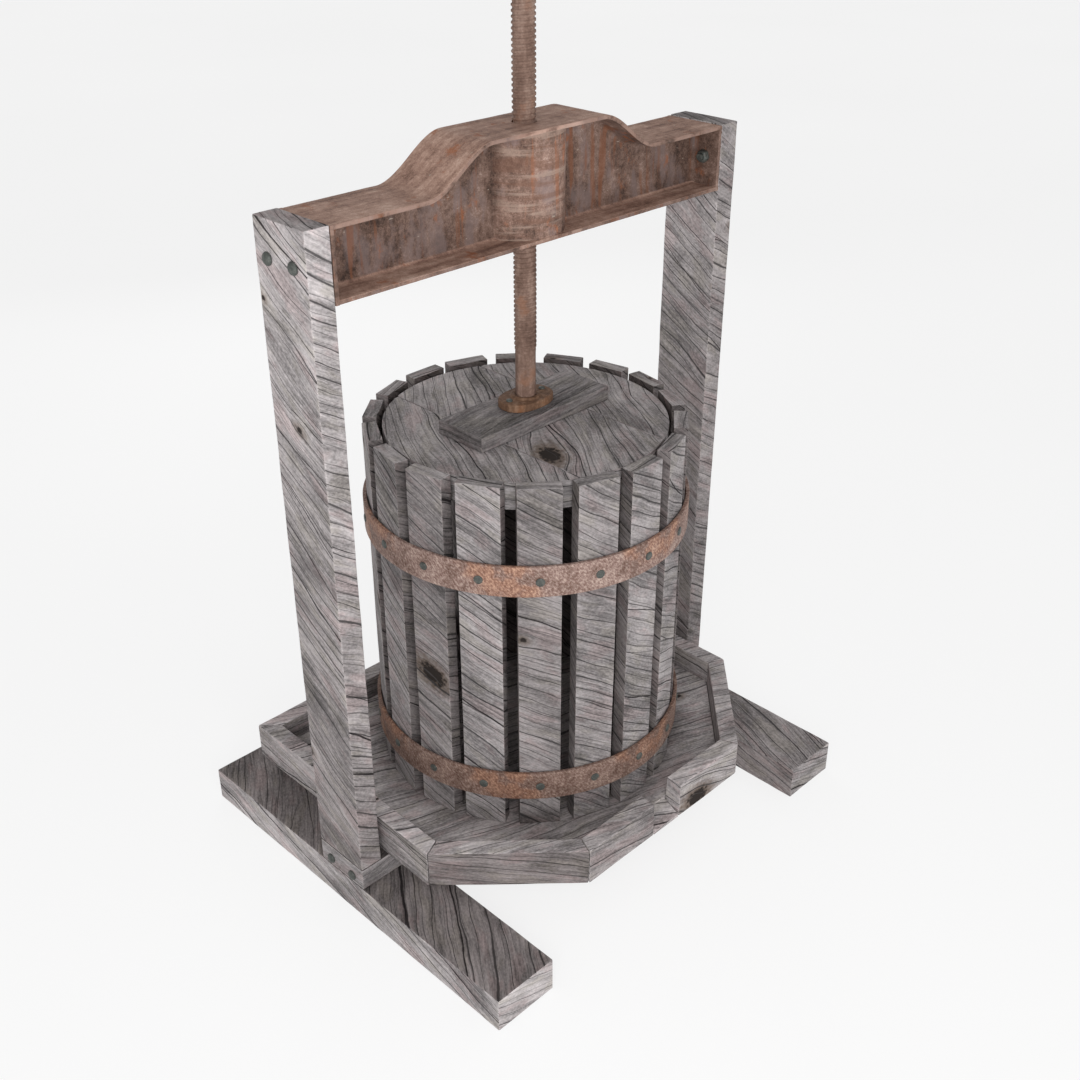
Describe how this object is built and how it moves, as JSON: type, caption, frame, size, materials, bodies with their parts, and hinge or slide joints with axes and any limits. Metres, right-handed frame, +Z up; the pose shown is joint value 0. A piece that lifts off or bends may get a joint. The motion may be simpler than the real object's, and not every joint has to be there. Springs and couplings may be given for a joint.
{
  "type": "cider press",
  "caption": "Antique apple cider press: slatted basket in a lipped timber tray, pressed by a board plate on a long screw through an arched iron crossbeam.",
  "frame": {"origin": "on the floor under the screw's axis, midway between the two feet", "axes": "+Z up along the screw; X along the crossbeam with the right upright at +X; -Y is the front, where the tray pours"},
  "size_m": [0.696, 0.598, 1.384],
  "materials": {
    "stand_timber": "bare, weathered grey, deeply cracked",
    "tray_timber": "bare, weathered grey",
    "stave_timber": "bare, weathered grey",
    "plate_timber": "bare, weathered grey, cracked",
    "hoop_iron": "speckled rust",
    "beam_iron": "dark rust with orange streaks",
    "screw_iron": "red-brown rust",
    "fastener_iron": "dull grey-green"
  },
  "bodies": {
    "stand": {"left_foot": "stand_timber", "right_foot": "stand_timber", "base_crosspiece": "stand_timber", "left_upright": "stand_timber", "right_upright": "stand_timber", "tray_floor": "tray_timber", "tray_rim_back": "tray_timber", "tray_rim_left": "tray_timber", "tray_rim_right": "tray_timber", "tray_rim_slant_left": "tray_timber", "tray_rim_slant_right": "tray_timber", "tray_rim_front_left": "tray_timber", "tray_rim_front_right": "tray_timber", "crossbeam": "beam_iron", "base_bolt_left_front": "fastener_iron", "beam_bolt_left_front": "fastener_iron", "beam_nut_left_front": "fastener_iron", "base_bolt_left_back": "fastener_iron", "beam_bolt_left_back": "fastener_iron", "beam_nut_left_back": "fastener_iron", "base_bolt_right_front": "fastener_iron", "beam_bolt_right_front": "fastener_iron", "beam_nut_right_front": "fastener_iron", "base_bolt_right_back": "fastener_iron", "beam_bolt_right_back": "fastener_iron", "beam_nut_right_back": "fastener_iron"},
    "basket": {"stave_01": "stave_timber", "stave_02": "stave_timber", "stave_03": "stave_timber", "stave_04": "stave_timber", "stave_05": "stave_timber", "stave_06": "stave_timber", "stave_07": "stave_timber", "stave_08": "stave_timber", "stave_09": "stave_timber", "stave_10": "stave_timber", "stave_11": "stave_timber", "stave_12": "stave_timber", "stave_13": "stave_timber", "stave_14": "stave_timber", "stave_15": "stave_timber", "stave_16": "stave_timber", "stave_17": "stave_timber", "stave_18": "stave_timber", "upper_hoop": "hoop_iron", "lower_hoop": "hoop_iron"},
    "platen": {"plate_board_left": "plate_timber", "plate_board_middle": "plate_timber", "plate_board_right": "plate_timber", "cross_block": "plate_timber", "thrust_collar": "screw_iron", "collar_screw_left": "fastener_iron", "collar_screw_right": "fastener_iron"},
    "screw": {"press_screw": "screw_iron", "screw_head": "beam_iron", "turning_bar": "screw_iron", "bar_knob_left": "beam_iron", "bar_knob_right": "beam_iron"}
  },
  "joints": [
    {"name": "platen_slide", "type": "slide", "parent": "stand", "child": "platen", "axis": [0, 0, 1], "range_m": [-0.3501, 0.1901]},
    {"name": "screw_turn", "type": "hinge", "parent": "platen", "child": "screw", "pos_m": [0, 0, 0.9], "axis": [0, 0, 1], "range_deg": [-21000, 11400]},
    {"name": "basket_lift", "type": "slide", "parent": "stand", "child": "basket", "axis": [0, 0, 1], "range_m": [0, 0.06]}
  ],
  "couplings": [
    {"joint": "platen_slide", "follows": "screw_turn", "m_per_rad": 0.00095493}
  ]
}
